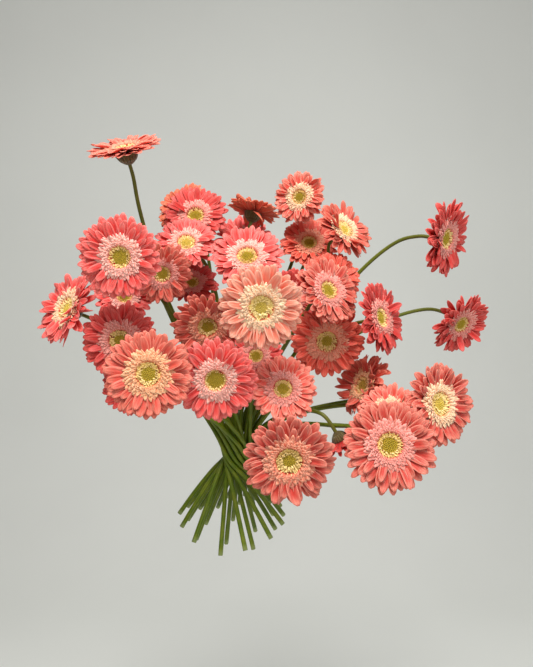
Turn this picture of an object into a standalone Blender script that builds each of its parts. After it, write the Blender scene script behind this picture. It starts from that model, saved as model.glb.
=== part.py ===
"""Hand-held bunch of mini apricot gerberas: cut stems gathered at a narrow waist, where a
hand closes round them, and opening into blooms above it.

Metres, +Z up. The origin is the middle of the waist. Most blooms look towards -Y.
Each bloom is one solid: calyx, petals and eye. The outer blooms and their stems are separate
nodes; a bloom tucked in behind the others is one solid with its own stem.
"""
import math

import bmesh
import bpy
import numpy as np
from mathutils import Matrix

MM = 0.001
GAP = 0.3 * MM                 # air between neighbouring solids
BLOOM_ROOM = 0.9 * MM          # air that blooms settle to, of which the facets take a part

# Stems: thick where they are cut, thin at the neck.
CUT_RADIUS = 2.6 * MM
NECK_RADIUS = 1.8 * MM
STEM_SIDES = 6
NECK_LENGTH = 14 * MM          # straight piece under the calyx
STEM_TUCK = 3 * MM             # how far a tucked flower's stem reaches into its own calyx
FOOT_LENGTH = 70 * MM          # from the waist to the cut, on a stem that leans far over
FOOT_EXTRA = 40 * MM           # what an upright stem has on top of that
FOOT_DROOP = 22 * MM           # how far a leaning cut end sags
FOOT_POINTS = 4
ARCH_POINTS = 9
WAIST_PULL = 0.40              # how far the lean at the waist carries up into the arch
NECK_PULL = 0.17               # how far the bloom's direction carries back into it

# Waist: the stems cross there in one twist, which keeps straight stems clear of each other.
TWIST = 22 * MM                # sideways place per unit of lean
LEAN = 1.0                     # lean of a stem whose bloom is level with the waist
LEAN_ABOVE = 0.68              # share of that lean just above the waist
LEAN_BELOW = 1.50              # and below it, where the cut ends fan out
WAIST_PITCH = 5.9 * MM
STEM_CLEARANCE = 0.45 * MM
STEM_ROOM = 3.2 * MM           # from a stem's middle to the skin of a bloom it passes
STIFFNESS = 0.25               # share of a stem's uneven shift that is evened out each round

# Settling: how many rounds, what share of an overlap is undone in each, and the number of
# decimals in metres that places keep, so that every run settles in the same way.
BLOOM_ROUNDS, BLOOM_PUSH = 160, 0.3
WAIST_ROUNDS, WAIST_PUSH, WAIST_PULL_IN = 400, 0.4, 0.997
STEM_ROUNDS, STEM_PUSH = 600, 0.2
PAIRING_ROUNDS = 20            # rounds between two looks for stems that lie close together
PLACE_DECIMALS = 6

# Bloom outline as (radius, height) in shares of the bloom's radius, from the neck outwards
# and over the rim to the eye. Height 0 is where the petals leave the calyx.
UNDERSIDE = ((0.25, -0.22), (0.34, -0.03), (1.00, 0.06))
FACE = ((1.00, 0.10), (0.54, 0.20), (0.26, 0.09))
BETWEEN_RINGS = ((0.77, 0.15), (0.67, 0.03))     # half way along its two widest bands
NECK_HEIGHT = -0.36
NOTCH = 0.92                   # rim radius between two petal tips, against the tips'
BLOOM_SIDES = 18
CALYX_BASE = 2.3 * MM          # radius of the flat end that sits on the stem

# x, y, z of the eye and the radius in mm, then the way it looks in degrees: turn from the
# front (-Y) towards +X, and rise above level.
OUTER = (
    (-104, -100, 320, 36, -15, 57),
    (-99, -137, 211, 38, 0, -8),
    (-163, -90, 166, 38, -38, 19),
    (-44, -40, 270, 35, 5, 20),
    (-49, -70, 235, 33, 5, 30),
    (-72, -85, 201, 31, 20, -20),
    (14, -90, 217, 38, 0, 32),
    (72, 0, 300, 31, -20, 0),
    (119, -22, 257, 36, 35, 28),
    (28, -135, 166, 40, 5, -12),
    (92, -100, 183, 35, 30, 20),
    (94, -80, 135, 38, -5, -15),
    (144, -90, 157, 37, 48, 10),
    (210, -86, 237, 38, 45, -12),
    (239, -50, 153, 34, 25, -28),
    (132, -75, 89, 34, -60, 18),
    (189, -125, 75, 39, 28, 7),
    (137, -167, 47, 40, 0, 12),
    (49, -95, 86, 34, 0, 20),
    (52, -167, 35, 40, 0, -10),
    (-14, -128, 100, 40, 5, -13),
    (-72, -145, 106, 40, 8, 3),
    (-109, -100, 135, 38, 0, 0),
    (-27, -80, 150, 37, 5, -24),
)
TUCKED = (
    (-63, 0, 288, 33, -28, 26),
    (-50, -30, 197, 31, 8, 36),
    (8, -25, 250, 33, -4, 20),
    (18, -45, 265, 29, 125, 74),
    (84, 24, 250, 36, 3, 28),
    (105, -40, 201, 31, 16, 16),
    (60, -50, 180, 33, 15, -4),
    (150, -125, 69, 30, -15, 34),
    (-115, -65, 180, 30, 15, 22),
    (22, -78, 120, 28, 0, 24),
    (107, -90, 36, 27, 85, -57),
    (-100, -90, 91, 31, -10, -3),
)

# Finishes: colour, roughness.
PETAL = ("petal", (0.83, 0.24, 0.17, 1.0), 0.55)
STEM = ("stem", (0.14, 0.22, 0.03, 1.0), 0.5)


def material(finish):
    """Principled material for a finish, made once."""
    name, colour, roughness = finish
    made = bpy.data.materials.get(name)
    if made is None:
        made = bpy.data.materials.new(name)
        made.use_nodes = True
        shader = made.node_tree.nodes["Principled BSDF"]
        shader.inputs["Base Color"].default_value = colour
        shader.inputs["Roughness"].default_value = roughness
        shader.inputs["Metallic"].default_value = 0.0
    return made


def new_object(name, mesh, finish):
    """Link a mesh into the scene as one named node."""
    mesh.materials.append(material(finish))
    made = bpy.data.objects.new(name, mesh)
    bpy.context.scene.collection.objects.link(made)
    return made


# ---------------------------------------------------------------- where the blooms sit

def facing(turn, rise):
    """Unit vector for a way of looking, from its turn and rise in degrees."""
    turn, rise = math.radians(turn), math.radians(rise)
    return (math.sin(turn) * math.cos(rise), -math.cos(turn) * math.cos(rise), math.sin(rise))


def outline_heights(share):
    """Heights of the underside and the face at a share of the radius, in radii."""
    under = ((0.0, NECK_HEIGHT), (0.07, NECK_HEIGHT)) + UNDERSIDE
    face = ((0.0, FACE[-1][1]),) + tuple(reversed(FACE))
    return (np.interp(share, *zip(*under)), np.interp(share, *zip(*face)))


def bloom_points(radius, axis, side):
    """Points on a bloom's skin and along its neck, from the eye's middle."""
    up = np.cross(axis, side)
    rings = [(r * radius, h * radius) for r, h in UNDERSIDE + FACE]
    rings += [(r * radius, h * radius) for r, h in BETWEEN_RINGS]
    angles = np.arange(BLOOM_SIDES) * math.tau / BLOOM_SIDES
    spokes = np.outer(np.cos(angles), side) + np.outer(np.sin(angles), up)
    skin = [r * spokes + h * axis for r, h in rings]
    sleeve = [1.5 * STEM_ROOM * spokes + (NECK_HEIGHT * radius - step * NECK_LENGTH) * axis
              for step in (0, 1, 2)]
    return np.concatenate(skin + sleeve)


def overlap_depth(points, centre, axis, radius, ahead):
    """How far points must move along axis, ahead or back, to leave a bloom's solid."""
    offset = points - centre
    height = offset @ axis
    share = np.linalg.norm(offset - np.outer(height, axis), axis=1) / radius
    under, face = outline_heights(share)
    low, high = under * radius - BLOOM_ROOM, face * radius + BLOOM_ROOM
    inside = (share * radius < radius + BLOOM_ROOM) & (height > low) & (height < high)
    travel = np.where(ahead, high - height, height - low)
    return float(travel[inside].max()) if inside.any() else 0.0


def settle_blooms(centres, axes, sides, radii):
    """Slide overlapping blooms apart, each along the way the pair looks."""
    skins = [bloom_points(r, a, s) for r, a, s in zip(radii, axes, sides)]
    sleeve = 2 * NECK_LENGTH
    for _ in range(BLOOM_ROUNDS):
        moves = np.zeros_like(centres)
        for i in range(len(centres)):
            for j in range(len(centres)):
                apart = centres[i] - centres[j]
                if i == j or np.linalg.norm(apart) > radii[i] + radii[j] + sleeve:
                    continue
                way = axes[i] + axes[j]
                way /= np.linalg.norm(way)
                ahead = apart @ way > 0
                depth = overlap_depth(skins[i] + centres[i], centres[j], axes[j], radii[j], ahead)
                push = (BLOOM_PUSH if ahead else -BLOOM_PUSH) * depth * way
                moves[i] += push
                moves[j] -= push
        if not moves.any():
            break
        centres = np.round(centres + moves, PLACE_DECIMALS)
    return centres


# ---------------------------------------------------------------- how the stems run

def turned(flat):
    """Vectors in the waist's plane, turned a quarter turn about +Z."""
    return np.stack((-flat[:, 1], flat[:, 0]), axis=1)


def pack_waist(leans):
    """Places of the stems in the waist's plane, and the leans that suit those places."""
    middle = leans.mean(axis=0)
    spots = TWIST * turned(leans - middle)
    alone = 1 - np.eye(len(spots))
    for _ in range(WAIST_ROUNDS):
        spots *= WAIST_PULL_IN
        apart = spots[:, None] - spots[None]
        distance = np.linalg.norm(apart, axis=2) + np.eye(len(spots))
        short = np.clip(WAIST_PITCH - distance, 0, None) * alone
        spots = spots + WAIST_PUSH * (apart * (short / distance)[..., None]).sum(axis=1)
        spots = np.round(spots, PLACE_DECIMALS)
    spots -= spots.mean(axis=0)
    return spots, middle - turned(spots) / TWIST


def stem_route(neck, axis, spot, lean):
    """Points from the cut end, through the waist, to the flat base of the calyx."""
    waist = np.array((spot[0], spot[1], 0.0))
    up, down = (np.array((k * lean[0], k * lean[1], 1.0)) for k in (LEAN_ABOVE, LEAN_BELOW))
    up /= np.linalg.norm(up)
    down /= np.linalg.norm(down)
    foot = FOOT_LENGTH + FOOT_EXTRA * down[2] ** 3
    below = np.linspace(1, 0, FOOT_POINTS)[:, None]
    droop = np.array((0, 0, -FOOT_DROOP * (1 - down[2]) * 2))
    lower = waist - down * foot * below + droop * below ** 2
    hold = neck - axis * NECK_LENGTH
    span = np.linalg.norm(hold - waist)
    t = np.linspace(0, 1, ARCH_POINTS)[1:, None]
    first, second = waist + up * span * WAIST_PULL, hold - axis * span * NECK_PULL
    arch = (waist * (1 - t) ** 3 + 3 * first * t * (1 - t) ** 2
            + 3 * second * t ** 2 * (1 - t) + hold * t ** 3)
    return np.concatenate((lower, arch, neck[None]))


def closest(start_a, end_a, start_b, end_b):
    """Shares along two sets of segments where each pair comes closest."""
    run_a, run_b, across = end_a - start_a, end_b - start_b, start_a - start_b
    aa, bb, ab = (run_a ** 2).sum(1), (run_b ** 2).sum(1), (run_a * run_b).sum(1)
    ac, bc = (run_a * across).sum(1), (run_b * across).sum(1)
    share_a = np.clip((ab * bc - ac * bb) / np.maximum(aa * bb - ab ** 2, 1e-12), 0, 1)
    share_b = np.clip((ab * share_a + bc) / bb, 0, 1)
    share_a = np.clip((ab * share_b - ac) / aa, 0, 1)
    return share_a[:, None], share_b[:, None]


def near_pairs(routes, reach):
    """Pairs of segments on different stems that lie close enough to meet."""
    stems, count = routes.shape[:2]
    begin = np.arange(stems * count).reshape(stems, count)[:, :-1].ravel()
    flat = routes.reshape(-1, 3)
    middle = (flat[begin] + flat[begin + 1]) / 2
    half = np.linalg.norm(flat[begin + 1] - flat[begin], axis=1) / 2
    first, second = np.triu_indices(len(begin), 1)
    distance = np.linalg.norm(middle[first] - middle[second], axis=1)
    close = distance < half[first] + half[second] + reach
    close &= begin[first] // count != begin[second] // count
    return begin[first[close]], begin[second[close]]


def part_stems(routes, radii, loose, pairs):
    """Moves that take crossing stems clear of each other."""
    moves = np.zeros_like(routes).reshape(-1, 3)
    flat, thick, free = routes.reshape(-1, 3), radii.reshape(-1, 1), loose.reshape(-1, 1)
    a, b = pairs
    share_a, share_b = closest(flat[a], flat[a + 1], flat[b], flat[b + 1])
    ends = ((a, 1 - share_a, 1), (a + 1, share_a, 1), (b, 1 - share_b, -1), (b + 1, share_b, -1))
    apart = sum(sign * part * flat[k] for k, part, sign in ends)
    room = sum(part * thick[k] for k, part, sign in ends)
    distance = np.linalg.norm(apart, axis=1, keepdims=True)
    short = np.clip(room + STEM_CLEARANCE - distance, 0, None)
    give = sum(free[k] * part ** 2 for k, part, sign in ends) + 1e-6
    push = apart / np.maximum(distance, 1e-9) * short / give
    for k, part, sign in ends:
        np.add.at(moves, k, 0.5 * sign * free[k] * part * push)
    return moves.reshape(routes.shape)


def clear_blooms(routes, centres, axes, radii, loose):
    """Moves that take stems out of blooms: behind them, or round the rim where a stem comes
    out in front. Each stretch of a stem is looked at in five places."""
    moves = np.zeros_like(routes)
    shares = np.arange(0, 1, 0.2)[:, None, None, None]
    points = routes[:, :-1] * (1 - shares) + routes[:, 1:] * shares
    for j, (centre, axis, radius) in enumerate(zip(centres, axes, radii)):
        offset = points - centre
        height = offset @ axis
        out = offset - height[..., None] * axis
        reach = np.linalg.norm(out, axis=3)
        under, face = outline_heights(reach / radius)
        low, high = under * radius - STEM_ROOM, face * radius + STEM_ROOM
        near = reach < radius + STEM_ROOM
        near[:, j] = False
        inside = near & (height > low) & (height < high)
        beyond = (near & (height > high)).any(axis=(0, 2))
        through = (beyond & inside.any(axis=(0, 2)))[None, :, None]
        back = np.where(inside & ~through, height - low, 0.0)[..., None] * -axis
        around = near & through & (height > low - radius / 2) & (height < high + radius / 2)
        aside = np.where(around, radius + STEM_ROOM - reach, 0.0) / np.maximum(reach, 1e-6)
        step = STEM_PUSH * (back + aside[..., None] * out)
        moves[:, :-1] += (step * (1 - shares)).sum(axis=0)
        moves[:, 1:] += (step * shares).sum(axis=0)
    return moves * loose


def settle_stems(routes, radii, centres, axes, bloom_radii):
    """Ease the stems clear of each other and of the blooms, keeping their sweep."""
    loose = np.ones(routes.shape[:2] + (1,))
    loose[:, -2:] = 0
    start = routes.copy()
    for k in range(STEM_ROUNDS):
        if k % PAIRING_ROUNDS == 0:
            pairs = near_pairs(routes, 4 * CUT_RADIUS)
        moves = part_stems(routes, radii, loose, pairs)
        moves += clear_blooms(routes, centres, axes, bloom_radii, loose)
        shift = routes + moves - start
        even = shift.copy()
        even[:, 1:-1] = (shift[:, :-2] + shift[:, 2:]) / 2
        even[:, 0] = 2 * shift[:, 1] - shift[:, 2]
        shift += STIFFNESS * (1 - k / STEM_ROUNDS) * loose * (even - shift)
        routes = np.round(start + shift, PLACE_DECIMALS)
    return routes


# ---------------------------------------------------------------- solids

def bloom_mesh(name, radius):
    """Closed bloom about +Z: calyx underneath, scalloped petals, raised ring round the eye."""
    rings = [(CALYX_BASE, NECK_HEIGHT * radius)]
    rings += [(r * radius, h * radius) for r, h in UNDERSIDE + FACE]
    shape = bmesh.new()
    loops = []
    for out, height in rings:
        loop = []
        for k in range(BLOOM_SIDES):
            angle = math.tau * k / BLOOM_SIDES
            reach = out * NOTCH if out == radius and k % 2 else out
            loop.append(shape.verts.new((reach * math.cos(angle), reach * math.sin(angle), height)))
        loops.append(loop)
    skin(shape, loops)
    return finished(shape, name)


def stem_mesh(name, route, radii):
    """Tapered tube along a route, with flat ends."""
    shape = bmesh.new()
    ways = np.gradient(route, axis=0)
    ways[0], ways[-1] = route[1] - route[0], route[-1] - route[-2]
    ways /= np.linalg.norm(ways, axis=1)[:, None]
    side = np.cross(ways[0], (0.0, 1.0, 0.0))
    loops = []
    for point, way, radius in zip(route, ways, radii):
        side = side - way * (side @ way)
        side /= np.linalg.norm(side)
        up = np.cross(way, side)
        loop = []
        for k in range(STEM_SIDES):
            angle = math.tau * k / STEM_SIDES
            spoke = math.cos(angle) * side + math.sin(angle) * up
            loop.append(shape.verts.new(point + radius * spoke))
        loops.append(loop)
    skin(shape, loops)
    return finished(shape, name)


def skin(shape, loops):
    """Bands of quads between rings, closed by a flat face at each end."""
    for low, high in zip(loops, loops[1:]):
        for k in range(len(low)):
            m = (k + 1) % len(low)
            shape.faces.new((low[k], low[m], high[m], high[k]))
    shape.faces.new(list(reversed(loops[0])))
    shape.faces.new(loops[-1])


def finished(shape, name):
    """Mesh with outward faces and smooth sides."""
    bmesh.ops.recalc_face_normals(shape, faces=shape.faces)
    mesh = bpy.data.meshes.new(name)
    shape.to_mesh(mesh)
    shape.free()
    mesh.shade_smooth()
    mesh.set_sharp_from_angle(angle=math.radians(40))
    return mesh


def main():
    for old in list(bpy.data.objects):
        bpy.data.objects.remove(old, do_unlink=True)

    flowers = OUTER + TUCKED
    radii = np.array([row[3] for row in flowers]) * MM
    axes = np.array([facing(*row[4:]) for row in flowers])
    sides = np.cross((0.0, 0.0, 1.0), axes)
    sides /= np.linalg.norm(sides, axis=1)[:, None]
    centres = settle_blooms(np.array([row[:3] for row in flowers]) * MM, axes, sides, radii)

    necks = centres + axes * (NECK_HEIGHT * radii - GAP)[:, None]
    leans = LEAN * necks[:, :2] / np.linalg.norm(necks, axis=1)[:, None]
    spots, leans = pack_waist(leans)
    routes = np.array([stem_route(*row) for row in zip(necks, axes, spots, leans)])
    taper = np.linspace(CUT_RADIUS, NECK_RADIUS, routes.shape[1])
    thick = np.tile(taper, (len(flowers), 1))
    routes = settle_stems(routes, thick, centres, axes, radii)

    for i in range(len(flowers)):
        outer = i < len(OUTER)
        number = i + 1 if outer else i + 1 - len(OUTER)
        label = "bloom_%02d" % number if outer else "tucked_gerbera_%02d" % number
        bloom = new_object(label, bloom_mesh(label, radii[i]), PETAL)
        side, up = sides[i], np.cross(axes[i], sides[i])
        turn = Matrix((side, up, axes[i])).transposed().to_4x4()
        bloom.matrix_world = Matrix.Translation(centres[i]) @ turn
        route = routes[i].copy()
        if not outer:
            route[-1] += axes[i] * STEM_TUCK
        stem_name = "stem_%02d" % number if outer else "tucked_stem_%02d" % number
        stem = new_object(stem_name, stem_mesh(stem_name, route, taper), STEM)
        if not outer:
            stem.hide_render = True
            stem.display_type = "WIRE"
            joined = bloom.modifiers.new("grown_together", "BOOLEAN")
            joined.operation = "UNION"
            joined.solver = "EXACT"
            joined.object = stem


main()
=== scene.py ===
import math

import bpy
import numpy as np
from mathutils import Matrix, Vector


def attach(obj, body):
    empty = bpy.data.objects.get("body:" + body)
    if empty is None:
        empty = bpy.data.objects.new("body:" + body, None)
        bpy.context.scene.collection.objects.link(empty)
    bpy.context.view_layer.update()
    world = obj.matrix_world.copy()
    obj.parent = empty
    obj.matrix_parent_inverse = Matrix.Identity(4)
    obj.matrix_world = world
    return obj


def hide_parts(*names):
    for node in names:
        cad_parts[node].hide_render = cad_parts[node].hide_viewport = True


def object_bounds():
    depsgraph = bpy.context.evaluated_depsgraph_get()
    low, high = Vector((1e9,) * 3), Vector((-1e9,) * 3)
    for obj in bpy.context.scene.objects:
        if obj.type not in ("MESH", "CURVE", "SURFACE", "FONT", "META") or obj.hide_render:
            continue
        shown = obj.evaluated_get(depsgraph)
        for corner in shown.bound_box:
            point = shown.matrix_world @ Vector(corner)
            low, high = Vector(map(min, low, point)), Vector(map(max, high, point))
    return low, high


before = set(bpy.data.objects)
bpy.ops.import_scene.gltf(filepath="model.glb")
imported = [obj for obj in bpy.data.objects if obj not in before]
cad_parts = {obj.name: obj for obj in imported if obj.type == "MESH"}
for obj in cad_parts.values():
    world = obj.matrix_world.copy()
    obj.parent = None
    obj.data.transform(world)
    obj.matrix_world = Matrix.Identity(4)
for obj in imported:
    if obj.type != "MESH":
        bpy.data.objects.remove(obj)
cad_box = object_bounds()


# ---- The bunch -----------------------------------------------------------------------
# Thirty-six cut mini gerberas held together at one hand's width of their stems. Nothing
# ties them: each flower is one plant piece, a bare stem that carries a single head.
# A flower is one CAD node, or two where its head and its stem are separate solids.
flowers = []
for node_name in sorted(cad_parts):
    if node_name.startswith("bloom"):
        stem_name = node_name.replace("bloom", "stem")
        flowers.append({"name": node_name, "head": node_name, "stem": stem_name})
    if node_name.startswith("tucked"):
        flowers.append({"name": node_name, "head": node_name, "stem": node_name})


# ---- Stems ---------------------------------------------------------------------------
# A gerbera's stem has no leaves. It is a fleshy green straw, softly ribbed, about 5 mm
# thick at the foot and 4 mm under the head, cut square, with pale pith in the cut.
STEM_SEED = 1
STEM_SIDES = 14
STEM_RIBS = 7
RIB_DEPTH = 0.045              # as a share of the girth, and so is the next one
GIRTH_WAVER = 0.012            # how uneven the girth is from ring to ring
STEPS_PER_STRETCH = 5          # fine rings from one CAD ring to the next
START_SIDE = (0.31, 0.95, 0.05)     # a direction that no stem sets out in
NECK_DEPTH = 0.36              # from the eye down to the neck, as a share of the head's radius
NECK_REACH = 0.006             # a CAD stem that stops farther than this from its neck is carried on
NECK_TUCK = 0.0025             # how far a stem reaches past its neck, into the calyx
RING_SPAN = 0.0056             # corners of one CAD ring lie closer together than this
RING_CORNERS = 6
JOIN_ROUNDS = 6                # each one doubles how far the corners of a ring are linked

# The cut foot: its pith is a shallow pit, in shares of the stem's radius and depths in metres.
PIT_DEPTH = 0.0012
PIT_FLOOR = 0.42
PIT_FLOOR_DEPTH = 0.0009
PIT_MOUTH = 0.55
PIT_ROWS = 2
RIM_PITH = 0.35                # how much of the pith's colour the cut rim has


def node_corners(name):
    """A CAD node's corners, each one once, and the pairs of them that an edge joins."""
    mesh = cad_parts[name].data
    corners = np.array([vertex.co for vertex in mesh.vertices], float)
    corners, index = np.unique(np.round(corners, 6), axis=0, return_inverse=True)
    edges = np.array([edge.vertices[:] for edge in mesh.edges])
    return corners, index.ravel()[edges]


def stem_rings(corners, edges):
    """The rings of corners along a stem, from its cut foot to its neck."""
    joined = np.linalg.norm(corners[:, None] - corners[None], axis=2) < RING_SPAN
    for _ in range(JOIN_ROUNDS):
        joined = joined.astype(np.float32) @ joined.astype(np.float32) > 0
    label = joined.argmax(axis=1)
    groups = {key: np.flatnonzero(label == key) for key in np.unique(label)}
    beside = {key: set() for key in groups}
    for one, other in label[edges]:
        if one != other:
            beside[one].add(other)
            beside[other].add(one)

    def girth(key):
        ring = corners[groups[key]]
        return np.linalg.norm(ring - ring.mean(axis=0), axis=1).mean()

    ends = [key for key in groups if len(groups[key]) == RING_CORNERS and len(beside[key]) == 1]
    here = max(ends, key=girth)
    rings = []
    seen = set()
    while here is not None:
        rings.append(groups[here])
        seen.add(here)
        onward = [key for key in beside[here] - seen if len(groups[key]) == RING_CORNERS]
        here = onward[0] if onward else None
    return rings


def smooth_run(points, steps):
    """A smooth curve through the points, with so many steps to each stretch."""
    framed = np.vstack([2 * points[0] - points[1], points, 2 * points[-1] - points[-2]])
    t = np.linspace(0, 1, steps, endpoint=False)[:, None]
    run = []
    for a, b, c, d in zip(framed, framed[1:], framed[2:], framed[3:]):
        bend = (2 * a - 5 * b + 4 * c - d) * t**2 + (3 * b - a - 3 * c + d) * t**3
        run.append(0.5 * (2 * b + (c - a) * t + bend))
    return np.vstack(run + [points[-1:]])


def unit(vectors):
    return vectors / np.linalg.norm(vectors, axis=-1, keepdims=True)


def strip_faces(rows, columns, closed=False, first=0):
    """The four-sided faces of a grid of points laid row by row, closed round or open."""
    row, column = np.meshgrid(np.arange(rows - 1), np.arange(columns - (not closed)), indexing="ij")
    right = (column + 1) % columns
    near = row * columns
    far = (row + 1) * columns
    corners = [near + column, near + right, far + right, far + column]
    return (np.stack(corners, axis=-1).reshape(-1, 4) + first).tolist()


def cap_faces(sides, foot, foot_ring, top, top_ring):
    """The triangles that close both ends of a tube, each end round its own middle point."""
    faces = []
    for one in range(sides):
        other = (one + 1) % sides
        faces.append([foot, foot_ring + other, foot_ring + one])
        faces.append([top, top_ring + one, top_ring + other])
    return faces


def new_piece(name, points, faces, values, material):
    """A mesh object from points and faces, with named values on its points."""
    mesh = bpy.data.meshes.new(name)
    mesh.from_pydata(np.asarray(points).tolist(), [], faces)
    for key, numbers in values.items():
        attribute = mesh.attributes.new(key, "FLOAT", "POINT")
        attribute.data.foreach_set("value", np.asarray(numbers, np.float32).ravel())
    mesh.shade_smooth()
    mesh.materials.append(material)
    piece = bpy.data.objects.new(name, mesh)
    bpy.context.scene.collection.objects.link(piece)
    return piece


def colour(red, green, blue):
    """A colour given from 0 to 255 as it looks, turned to the linear one that shaders take."""
    looks = np.array([red, green, blue]) / 255
    linear = np.where(looks < 0.04045, looks / 12.92, ((looks + 0.055) / 1.055) ** 2.4)
    return (*linear.tolist(), 1.0)


def new_material(name, roughness, specular):
    """A material with its Principled shader, ready for the colour and the bump."""
    material = bpy.data.materials.new(name)
    material.use_nodes = True
    shader = material.node_tree.nodes["Principled BSDF"]
    shader.inputs["Roughness"].default_value = roughness
    shader.inputs["Specular IOR Level"].default_value = specular
    return material, material.node_tree, shader


def add_node(tree, kind, values=None, **settings):
    """One shader node, with its settings and the values or links of its named inputs."""
    node = tree.nodes.new(kind)
    for key, setting in settings.items():
        setattr(node, key, setting)
    for key, value in (values or {}).items():
        if isinstance(value, bpy.types.NodeSocket):
            tree.links.new(value, node.inputs[key])
        else:
            node.inputs[key].default_value = value
    return node


def point_value(tree, name):
    """The socket that reads a named value from a piece's points."""
    return add_node(tree, "ShaderNodeAttribute", attribute_name=name).outputs["Fac"]


def maths(tree, operation, *values, clamp=False):
    """The socket of one sum on numbers or on other sockets."""
    inputs = dict(enumerate(values))
    return add_node(tree, "ShaderNodeMath", inputs, operation=operation, use_clamp=clamp).outputs[0]


# The Mix node has the same socket names for numbers and for colours, so these are by number.
MIX_FIRST_COLOUR = 6
MIX_SECOND_COLOUR = 7
MIX_RESULT_COLOUR = 2


def blended(tree, amount, first, second):
    """The socket of one colour laid over another by an amount."""
    values = {"Factor": amount, MIX_FIRST_COLOUR: first, MIX_SECOND_COLOUR: second}
    return add_node(tree, "ShaderNodeMix", values, data_type="RGBA").outputs[MIX_RESULT_COLOUR]


def stretched(tree, value, low, high, ease="LINEAR"):
    """The socket of a value stretched so that low gives 0 and high gives 1, and kept between."""
    values = {"Value": value, "From Min": low, "From Max": high}
    return add_node(tree, "ShaderNodeMapRange", values, interpolation_type=ease).outputs["Result"]


def noise(tree, scale, detail):
    """The socket of a soft random pattern that is fixed to the piece."""
    place = add_node(tree, "ShaderNodeTexCoord").outputs["Object"]
    values = {"Vector": place, "Scale": scale, "Detail": detail}
    return add_node(tree, "ShaderNodeTexNoise", values).outputs["Fac"]


def add_relief(tree, shader, height, strength, distance):
    """Fine relief on a material, from a socket of heights and a distance in metres."""
    values = {"Height": height, "Strength": strength, "Distance": distance}
    bump = add_node(tree, "ShaderNodeBump", values)
    tree.links.new(bump.outputs["Normal"], shader.inputs["Normal"])


def new_group(name, inputs, outputs):
    """A shader node group with named inputs and outputs, and its two end nodes."""
    group = bpy.data.node_groups.new(name, "ShaderNodeTree")
    for label, kind, value in inputs:
        socket = group.interface.new_socket(name=label, in_out="INPUT", socket_type=kind)
        socket.default_value = value
    for label, kind in outputs:
        group.interface.new_socket(name=label, in_out="OUTPUT", socket_type=kind)
    entry = group.nodes.new("NodeGroupInput")
    result = group.nodes.new("NodeGroupOutput")
    return group, entry.outputs, result.inputs


# Plant skin that is never one flat colour: cloudy patches, and fine down as a grain.
PLAIN_COLOUR = (0.5, 0.5, 0.5, 1.0)
CLOUD_EDGES = (0.38, 0.66)
cloudy_skin, inputs, outputs = new_group(
    "cloudy_skin",
    [
        ("Skin", "NodeSocketColor", PLAIN_COLOUR),
        ("Patch", "NodeSocketColor", PLAIN_COLOUR),
        ("Patch Scale", "NodeSocketFloat", 60.0),
        ("Grain Scale", "NodeSocketFloat", 1400.0),
    ],
    [("Color", "NodeSocketColor"), ("Grain", "NodeSocketFloat")],
)
clouds = noise(cloudy_skin, inputs["Patch Scale"], 3.0)
grain = noise(cloudy_skin, inputs["Grain Scale"], 1.0)
patches = stretched(cloudy_skin, clouds, *CLOUD_EDGES)
cloudy = blended(cloudy_skin, patches, inputs["Skin"], inputs["Patch"])
cloudy_skin.links.new(cloudy, outputs["Color"])
cloudy_skin.links.new(grain, outputs["Grain"])


def add_cloudy_skin(tree, skin, patch, patch_scale):
    """The cloudy skin group in a material: its two colours, and the patches to a metre."""
    values = {"Skin": skin, "Patch": patch, "Patch Scale": patch_scale}
    return add_node(tree, "ShaderNodeGroup", values, node_tree=cloudy_skin).outputs


STEM_FOOT_GREEN = colour(92, 114, 6)
STEM_PATCH_GREEN = colour(120, 132, 26)
STEM_NECK_OLIVE = colour(108, 102, 40)
STEM_AGED = (0.45, 1.0)        # where the olive starts and is full, from the foot to the neck
# The furrows between the ribs are darkened with painted shade.
PAINTED_FURROW_SHADE_GREEN = colour(48, 62, 12)
PAINTED_FURROW_SHADE_AMOUNT = 0.45
PITH = colour(196, 204, 150)


def stem_material():
    """Green at the foot and olive at the neck, with painted shade in the furrows between the ribs, and pith
    in the cut.
    """
    material, tree, shader = new_material("stem_skin", roughness=0.45, specular=0.3)
    skin = add_cloudy_skin(tree, STEM_FOOT_GREEN, STEM_PATCH_GREEN, 85.0)
    rise = stretched(tree, point_value(tree, "rise"), *STEM_AGED)
    aged = blended(tree, rise, skin["Color"], STEM_NECK_OLIVE)
    painted_furrow_shade = maths(tree, "MULTIPLY", point_value(tree, "painted_shade_furrow"), PAINTED_FURROW_SHADE_AMOUNT)
    ribbed = blended(tree, painted_furrow_shade, aged, PAINTED_FURROW_SHADE_GREEN)
    cut = blended(tree, point_value(tree, "pith"), ribbed, PITH)
    tree.links.new(cut, shader.inputs["Base Color"])
    add_relief(tree, shader, skin["Grain"], strength=0.25, distance=0.0004)
    shader.inputs["Subsurface Weight"].default_value = 0.08
    shader.inputs["Subsurface Radius"].default_value = (0.002, 0.003, 0.001)
    return material


stem_skin = stem_material()


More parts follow.
